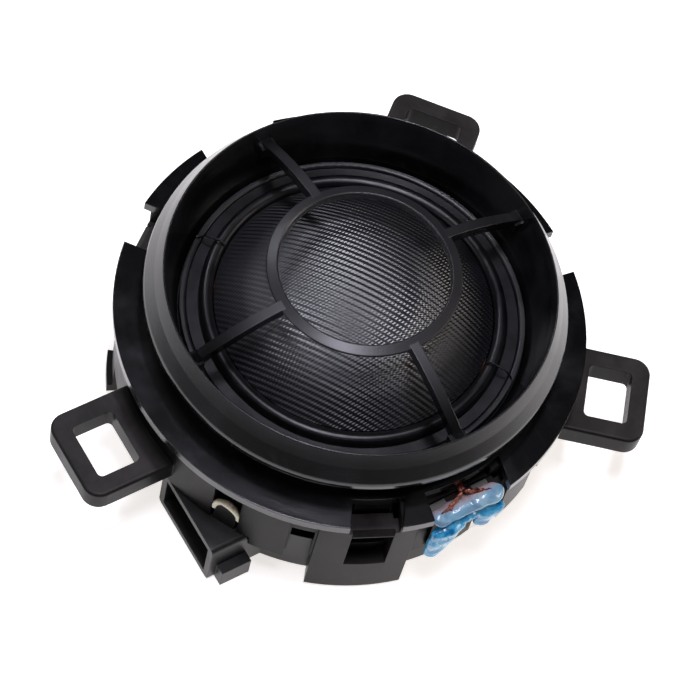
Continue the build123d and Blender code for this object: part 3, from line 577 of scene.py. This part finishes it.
print("sphere radius", round(sphere_r / MM, 2), "mm, cap height", round(cap_height / MM, 2), "mm")

# %% [markdown]
# ## The dome's grid
# A UV sphere would do for a smooth dome, but its faces bunch at the pole, where
# ribs show most. A square grid is even all over: it is trimmed to a circle, its
# edge is pulled onto the rim, and each point is lifted onto the sphere with its
# share of the weave.

# %% Dome cap
STEP = 0.125 * MM           # grid spacing, four or five to a rib
TRIM = STEP * 0.3           # points nearer the rim than this would make slivers
RIB_FADE = 0.6 * MM         # the ribs start to fade this far inside the rim

clear_selection()
cells = int(2 * DOME_RIM / STEP)
bpy.ops.mesh.primitive_grid_add(x_subdivisions=cells, y_subdivisions=cells, size=2 * DOME_RIM)
dome = bpy.context.object
mesh = dome.data
bpy.ops.object.mode_set(mode="EDIT")
bpy.ops.mesh.select_mode(type="VERT")
bpy.ops.mesh.select_all(action="DESELECT")
bpy.ops.object.mode_set(mode="OBJECT")
for vertex in mesh.vertices:
    vertex.select = vertex.co.xy.length > DOME_RIM - TRIM
bpy.ops.object.mode_set(mode="EDIT")
bpy.ops.mesh.delete(type="VERT")
bpy.ops.mesh.select_all(action="DESELECT")
bpy.ops.mesh.select_non_manifold(extend=False)
bpy.ops.object.mode_set(mode="OBJECT")
for vertex in mesh.vertices:
    flat = vertex.co.xy
    if vertex.select:
        flat = flat.normalized() * DOME_RIM
    height = centre_z + math.sqrt(sphere_r ** 2 - flat.length_squared)
    fade = min(1.0, (DOME_RIM - flat.length) / RIB_FADE)
    vertex.co = (flat.x, flat.y, height + weave_height(flat.x, flat.y) * fade)
print("cap of", len(mesh.vertices), "points")

# %% [markdown]
# ## The dome's skirt and thickness
# The rim is still selected, so one extrusion makes the skirt. The weave map is
# written next, from the same function that raised the ribs, so that shading and
# relief agree. Thickness could be modelled as a second surface; the Solidify
# modifier does it in one step, inward, which keeps the outer size.

# %% Dome skirt, map and thickness
CLOTH = 0.18 * MM

bpy.ops.object.mode_set(mode="EDIT")
bpy.ops.mesh.extrude_region_move(TRANSFORM_OT_translate={"value": (0, 0, -SKIRT)})
bpy.ops.object.mode_set(mode="OBJECT")
weave_map = mesh.uv_layers.new(name=WEAVE_MAP)
for loop in mesh.loops:
    point = mesh.vertices[loop.vertex_index].co
    weave_map.data[loop.index].uv = yarn_place(point.x, point.y)
apply_modifier(dome, "SOLIDIFY", thickness=CLOTH, offset=-1.0, use_even_offset=False)
bpy.ops.object.shade_smooth_by_angle(angle=SMOOTH_ANGLE)
finish_piece(dome, "woven_dome", dome_cloth, MOVING, "dome_cloth", "dome")

# %% [markdown]
# ## The half-roll surround
# The same cloth, without ribs that show, is pressed into a half-roll between
# the dome and its ring, and its outer hem lies flat on the ring. Turned shapes
# like this could be spun from a profile. Here a circle is extruded and scaled
# ring by ring, which shows each radius and height as it is made. The helper
# that does it comes first.

# %% Ring-by-ring extrusion
def extruded_rings(rings, segments=160):
    """A turned sheet: one circle extruded and scaled through (radius, height) pairs."""
    clear_selection()
    radius, height = rings[0]
    bpy.ops.mesh.primitive_circle_add(vertices=segments, radius=radius, location=(0, 0, height),
                                      fill_type="NOTHING")
    piece = bpy.context.object
    bpy.ops.object.transform_apply(location=True, rotation=True, scale=True)
    bpy.ops.object.mode_set(mode="EDIT")
    bpy.ops.mesh.select_all(action="SELECT")
    for next_radius, next_height in rings[1:]:
        rise = next_height - height
        bpy.ops.mesh.extrude_region_move(TRANSFORM_OT_translate={"value": (0, 0, rise)})
        factor = next_radius / radius
        bpy.ops.transform.resize(value=(factor, factor, 1), center_override=(0, 0, next_height))
        radius, height = next_radius, next_height
    bpy.ops.mesh.select_all(action="SELECT")
    bpy.ops.mesh.normals_make_consistent(inside=False)
    bpy.ops.object.mode_set(mode="OBJECT")
    print("turned sheet of", len(rings), "rings")
    return piece


# %% [markdown]
# ## The roll's profile
# The profile is an arch between two seats: one just outside the dome's skirt and
# one where the flat hem starts. Half a circle would be too high for its width,
# so the arch is a sine, raised to a power below one to make it fuller.

# %% Half-roll surround
low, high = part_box("surround")
ROLL_OUTER = high.x
ROLL_CROWN = high.z - 0.04 * MM
ROLL_INNER = DOME_RIM + 0.08 * MM       # just outside the dome's skirt
ROLL_HEM_Z = HEM_Z + SKIRT - 0.15 * MM  # where the roll leaves the skirt
ROLL_SEAT = low.z + 0.2 * MM
ROLL_END = 14.15 * MM                   # where the flat outer hem starts
ROLL_STEPS = 14
FULLNESS = 0.8                          # below 1 the arch is fuller than a sine
profile = []
for step in range(ROLL_STEPS + 1):
    turn = math.pi * step / ROLL_STEPS
    radius = ROLL_INNER + (ROLL_END - ROLL_INNER) * (1 - math.cos(turn)) / 2
    base = ROLL_HEM_Z * (1 - step / ROLL_STEPS) + ROLL_SEAT * step / ROLL_STEPS
    on_arch = 0 < step < ROLL_STEPS
    crown = (ROLL_CROWN - base) * math.sin(turn) ** FULLNESS if on_arch else 0
    profile.append((radius, base + crown))
profile.append((ROLL_OUTER, ROLL_SEAT))
roll = extruded_rings(profile)
apply_modifier(roll, "SOLIDIFY", thickness=CLOTH, offset=-1.0)
bpy.ops.object.shade_smooth_by_angle(angle=SMOOTH_ANGLE)
finish_piece(roll, "half_roll_surround", roll_cloth, CHASSIS, "surround_cloth", "surround")

# %% [markdown]
# ## Blue lacquer over the solder tags
# The lacquer is brushed on thick and sags. It could be sculpted, but rows of
# overlapping balls say plainly where the lacquer is and how thick. They are
# joined, remeshed into one skin and smoothed, and a seeded noise gives the skin
# its sway. Two helpers do that: one lines up the balls and one makes the skin.

# %% Balls and lumps
SWAY_SIZE = 1.1 * MM


def run_of_balls(first, last, first_radii, last_radii, count):
    """Balls in a row between two places, close enough to blend, in millimetres."""
    made = []
    for step in range(count):
        share = step / (count - 1)
        centre = Vector(first).lerp(Vector(last), share)
        radii = Vector(first_radii).lerp(Vector(last_radii), share)
        made.append((centre, radii))
    return made


def lump(name, balls, voxel, smooth_turns, wobble, seed):
    """One skin over several (centre, radii) balls, in millimetres."""
    clear_selection()
    parts = []
    for centre, radii in balls:
        bpy.ops.mesh.primitive_ico_sphere_add(subdivisions=3, radius=1.0,
                                              location=Vector(centre) * MM)
        bpy.context.object.scale = Vector(radii) * MM
        parts.append(bpy.context.object)
    for part in parts:
        part.select_set(True)
    bpy.context.view_layer.objects.active = parts[0]
    bpy.ops.object.join()
    piece = bpy.context.object
    bpy.ops.object.transform_apply(location=True, rotation=True, scale=True)
    apply_modifier(piece, "REMESH", mode="VOXEL", voxel_size=voxel)
    apply_modifier(piece, "SMOOTH", factor=0.5, iterations=smooth_turns)
    offset = Vector((seed * 3.1, seed * 1.7, seed * 2.3))
    for vertex in piece.data.vertices:
        sway = noise.noise(vertex.co / SWAY_SIZE + offset)
        vertex.co += vertex.normal * sway * wobble
    bpy.ops.object.shade_smooth()
    print(name, "is", len(balls), "balls in one skin")
    return piece


# %% [markdown]
# ## The lacquer's runs
# There is a pad over each tag on the ledge, a tongue down the wall under each,
# and a bridge between the tongues. One thick slab would be quicker, but pads and
# tongues kept apart leave the shallow crease that real lacquer has at the edge.

# %% Lacquer
# first place, last place, first radii, last radii, how many; all in millimetres
lacquer_runs = [
    # the pad on the left tag, the pad on the right tag
    ((-2.7, -20.5, -2.15), (0.6, -20.5, -2.1), (0.85, 0.95, 0.42), (0.95, 1.0, 0.46), 8),
    ((1.2, -20.55, -2.0), (2.75, -20.65, -2.0), (1.05, 1.0, 0.60), (1.1, 1.0, 0.62), 5),
    # the left tongue, the right tongue
    ((-2.1, -21.35, -3.45), (-3.1, -21.35, -6.75), (1.75, 0.85, 0.66), (0.95, 0.62, 0.65), 14),
    ((2.3, -21.35, -3.35), (1.9, -21.35, -5.0), (1.45, 0.75, 0.62), (0.95, 0.60, 0.65), 10),
    # the bridge between the tongues
    ((-1.2, -21.0, -3.1), (1.4, -21.0, -3.1), (0.8, 0.62, 0.45), (0.8, 0.62, 0.45), 6),
]
lacquer_balls = [ball for run in lacquer_runs for ball in run_of_balls(*run)]
lacquer = lump("lacquer", lacquer_balls, voxel=0.09 * MM, smooth_turns=4, wobble=0.20 * MM, seed=3)
finish_piece(lacquer, "lacquer_mass", blue_lacquer, CHASSIS, "blue_lacquer",
             "lacquer_drop_left", "lacquer_drop_right")

# %% [markdown]
# ## Litz leads
# Litz is a bundle of fine strands with a lazy twist that springs apart where it
# is cut and soldered. Strands could be swept tubes, but a smooth curve with a
# round bevel keeps an even thickness however it bends. A seeded random draw
# sets how far each one strays.

# %% Litz strand
STRAND_R = 0.075 * MM


def strand_curve(name, points, radius):
    """A smooth round strand that follows control points, as a mesh."""
    curve = bpy.data.curves.new(name, "CURVE")
    curve.dimensions = "3D"
    curve.bevel_depth = radius
    curve.bevel_resolution = 3
    curve.use_fill_caps = True
    spline = curve.splines.new("NURBS")
    spline.points.add(len(points) - 1)
    for point, place in zip(spline.points, points):
        point.co = (*place, 1.0)
    spline.order_u = 3
    spline.use_endpoint_u = True
    spline.resolution_u = 6
    strand = bpy.data.objects.new(name, curve)
    bpy.context.collection.objects.link(strand)
    clear_selection()
    strand.select_set(True)
    bpy.context.view_layer.objects.active = strand
    bpy.ops.object.convert(target="MESH")
    return bpy.context.object


print("strand diameter", round(2 * STRAND_R / MM, 2), "mm")

# %% [markdown]
# ## Strands into bundles
# The strands start evenly round the bundle and wind about its route. They could
# be copies of one strand, but litz springs apart toward its soldered end, so
# each point is drawn a little nearer or farther, and the bundle opens as it goes.

# %% Litz bundle
STRANDS = 13
SPREAD = 0.34               # distance of the strands from the route, in millimetres
OPENING = (0.7, 0.9)        # share of it at the start, and what is added by the end
STRAY = (0.8, 1.25)         # limits of the random draw
TURNS = 2.6
ACROSS_Y, ACROSS_Z = 0.35, 0.8      # the bundle is flattened in these directions


def litz_bundle(side, route, seed):
    """Twisted strands about a route of (x, y, z) in millimetres."""
    draw = random.Random(seed)
    made = []
    for index in range(STRANDS):
        start = 2 * math.pi * index / STRANDS
        points = []
        for step, centre in enumerate(route):
            share = step / (len(route) - 1)
            angle = start + TURNS * 2 * math.pi * share
            reach = SPREAD * (OPENING[0] + OPENING[1] * share) * draw.uniform(*STRAY)
            swing = Vector((math.cos(angle), ACROSS_Y * math.sin(angle),
                            ACROSS_Z * math.sin(angle))) * reach
            points.append((Vector(centre) + swing) * MM)
        made.append(strand_curve(f"strand_{side}_{index}", points, STRAND_R))
    clear_selection()
    for strand in made:
        strand.select_set(True)
    bpy.context.view_layer.objects.active = made[0]
    bpy.ops.object.join()
    bpy.ops.object.shade_smooth()
    return bpy.context.object


print("bundle of", STRANDS, "strands,", TURNS, "turns")

# %% [markdown]
# ## The two leads
# Both leads come out from under the flange side by side, rise over the edge of
# the ledge and part toward their tags. Gravity and spring could be simulated,
# but the leads are stiff and short, so a few points each are enough.

# %% Litz leads
FIRST_SEED = 11
ROUTES = {
    "left": [(-0.4, -17.3, -1.75), (0.0, -18.3, -1.6), (0.2, -19.2, -1.4), (-0.3, -19.75, -1.3),
             (-0.9, -19.95, -1.35), (-1.5, -20.15, -1.5), (-2.0, -20.5, -1.8)],
    "right": [(0.8, -17.3, -1.75), (0.6, -18.3, -1.6), (0.2, -19.2, -1.3), (0.5, -19.8, -1.2),
              (1.1, -19.95, -1.25), (1.7, -20.15, -1.35), (2.3, -20.5, -1.7)],
}
for seed, (side, route) in enumerate(ROUTES.items(), FIRST_SEED):
    bundle = litz_bundle(side, route, seed)
    finish_piece(bundle, f"litz_bundle_{side}", litz_copper, CHASSIS, "litz_copper",
                 f"litz_lead_{side}")

# %% [markdown]
# ## Bead of hot-melt
# A bead of cream hot-melt seals the cover at the locking finger. It is a rounded
# lump with soft folds. A stretched sphere would be too even, so it is made the
# same way as the lacquer: a mound on the rim and an arch of balls that follows
# the finger's round top.

# %% Hot-melt bead
low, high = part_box("sealing_bead")
middle = (low + high) / 2 / MM
finger_angle = math.atan2(middle.y, middle.x)
# all in millimetres
MOUND_RADII = (0.7, 0.9, 0.6)
ARCH_R = 20.9 - 0.25        # a little inside the outer face of the locking finger
ARCH_HALF = 1.1 + 0.15      # a little wider than half the finger
ARCH_RISE = 1.1 + 0.25
ARCH_Z = -6.1               # where the finger's round top begins
ARCH_STEPS = 12
ARCH_BALL = 0.34
bead_balls = [((middle.x, middle.y, middle.z), MOUND_RADII)]
for step in range(ARCH_STEPS + 1):
    turn = math.pi * step / ARCH_STEPS
    side = math.cos(turn) * ARCH_HALF
    rise = math.sin(turn) * ARCH_RISE
    place = Matrix.Rotation(finger_angle, 3, "Z") @ Vector((ARCH_R, side, ARCH_Z + rise))
    bead_balls.append((place, (ARCH_BALL, ARCH_BALL, ARCH_BALL)))
bead = lump("bead", bead_balls, voxel=0.08 * MM, smooth_turns=3, wobble=0.12 * MM, seed=7)
finish_piece(bead, "hot_melt_bead", hot_melt, CHASSIS, "hot_melt", "sealing_bead")

# %% [markdown]
# ## Table
# The part stands on its rear cover on a white board. One lamp could light a plain
# white plane, but its ground would be grey before the part is bright enough. So
# the board carries a painted pool of light: it glows white near the part, and its
# glow and whiteness fade to grey with distance, so it reflects little from afar.

# %% Table
clear_selection()
FLOOR_HALF = 3.0
# painted pool of light: the board glows brightest near the part, and its glow and whiteness fade to
# grey farther off
PAINTED_GLOW_NEAR = 0.76        # light box under the board, near the part
PAINTED_GLOW_FAR = 0.03          # and away from it
POOL_EDGE = (66 * MM, 95 * MM)     # distances over which board gives way to bench
bpy.ops.mesh.primitive_plane_add(size=2 * FLOOR_HALF, location=(0, 0, cad_box[0].z))
table_top = bpy.context.object
table_top.name = "table"
paper, tree, shader = new_material("white_board_with_painted_glow")
place = add(tree, "TexCoord", {}).outputs["Object"]
fleck = add(tree, "TexNoise", {"Vector": place, "Scale": 1 / (1.1 * MM), "Detail": 3.0})
tint = add(tree, "ValToRGB", {"Fac": fleck}, stops=((0.3, "#f4f3f1"), (0.7, "#fbfaf8")))
span = add(tree, "VectorMath", {0: place}, {"operation": "LENGTH"}).outputs["Value"]
away = add(tree, "MapRange", {"Value": span, "From Min": POOL_EDGE[0], "From Max": POOL_EDGE[1]},
           {"interpolation_type": "SMOOTHSTEP"})
# painted pool of light: glowing and white near the part, dim grey beyond
glow = add(tree, "MapRange", {"Value": away, "To Min": PAINTED_GLOW_NEAR, "To Max": PAINTED_GLOW_FAR})
ground = add(tree, "Mix", {"Factor": away, 6: tint, 7: "#8e8c89"}, {"data_type": "RGBA"})
fill(tree, shader, {"Base Color": ground.outputs[2], "Roughness": 0.6,
                    "Emission Color": "#fffaf6", "Emission Strength": glow})
table_top.data.materials.append(paper)
print("table at", round(cad_box[0].z / MM, 2), "mm")

# %% [markdown]
# ## Soft studio light
# Black plastic shows little but reflections, so what matters is where the
# surroundings are bright: a small panel overhead for the ring and the spokes, a
# lamp beyond it for the cloth, a window and a lamp on the left, a card on the
# right, and the front left dark. An even sky would turn all the black to grey.

# %% Soft studio light
SKY_STRENGTH = 0.9
world = bpy.data.worlds.new("studio")
bpy.context.scene.world = world
world.use_nodes = True
tree = world.node_tree
direction = add(tree, "TexCoord", {}).outputs["Generated"]
axes = add(tree, "SeparateXYZ", {0: direction})
sky = add(tree, "ValToRGB", {"Fac": axes.outputs["Z"]},
          stops=((0.0, "#565658"), (0.12, "#626367"), (0.35, "#3c3d42"), (0.55, "#1d1e22"),
                 (1.0, "#0c0d10")))
fill(tree, tree.nodes["Background"], {"Color": sky, "Strength": SKY_STRENGTH})


def soft_box(name, azimuth, elevation, distance, size, power, colour):
    """An area light aimed at the part; azimuth is measured from +X."""
    light = bpy.data.lights.new(name, "AREA")
    light.shape = "RECTANGLE"
    light.size, light.size_y = size
    light.energy = power
    light.color = linear(colour)[:3]
    lamp = bpy.data.objects.new(name, light)
    bpy.context.collection.objects.link(lamp)
    turn, rise = math.radians(azimuth), math.radians(elevation)
    out = Vector((math.cos(turn) * math.cos(rise), math.sin(turn) * math.cos(rise), math.sin(rise)))
    lamp.location = out * distance
    lamp.rotation_mode = "QUATERNION"
    lamp.rotation_quaternion = out.to_track_quat("Z", "Y")


# name, azimuth and elevation in degrees, distance and (width, height) in metres, watts, colour
soft_box("window", 170, 35, 0.5, (0.25, 0.2), 0.38, "#f2f4ff")
soft_box("side_card", -30, 30, 0.5, (0.2, 0.12), 0.55, "#fff4ea")
soft_box("left_lamp", 86, 47, 0.45, (0.07, 0.07), 0.30, "#f2f4ff")
soft_box("ceiling_panel", -135, 83, 0.45, (0.07, 0.13), 0.75, "#f0efff")
soft_box("far_lamp", 45, 80, 0.45, (0.06, 0.06), 0.65, "#f0efff")

# %% [markdown]
# ## Camera
# The view is from above and to the side of the ear, with a long lens, so the
# round parts keep their round look. A camera could be aimed with a constraint,
# but then its roll is hard to set, so it is placed by the angles of the view:
# how high it stands, which way it faces and how far it is rolled.

# %% Camera
ELEVATION = math.radians(59.34)
AZIMUTH = math.radians(-45.0)
ROLL = math.radians(16.56)
DISTANCE = 228.6 * MM
SLIDE_RIGHT = 0.227 * MM
SLIDE_UP = 3.411 * MM

back = Vector((0, -math.cos(ELEVATION), math.sin(ELEVATION)))
right = Vector((1, 0, 0))
up = Vector((0, math.sin(ELEVATION), math.cos(ELEVATION)))
rolled_right = math.cos(ROLL) * right + math.sin(ROLL) * up
rolled_up = math.cos(ROLL) * up - math.sin(ROLL) * right
spot = DISTANCE * back - SLIDE_RIGHT * rolled_right - SLIDE_UP * rolled_up
columns = Matrix((rolled_right, rolled_up, back)).transposed()
around = Matrix.Rotation(AZIMUTH, 3, "Z")

FOCAL_MM = 129.6
SENSOR_MM = 36.0
lens = bpy.data.cameras.new("camera")
lens.lens = FOCAL_MM
lens.sensor_width = SENSOR_MM
lens.clip_start = 0.01
lens.clip_end = 20.0
camera = bpy.data.objects.new("camera", lens)
bpy.context.collection.objects.link(camera)
camera.matrix_world = Matrix.Translation(around @ spot) @ (around @ columns).to_4x4()
bpy.context.scene.camera = camera
bpy.context.scene.view_settings.view_transform = "Standard"
print("camera at", [round(part / MM, 1) for part in camera.matrix_world.translation], "mm")
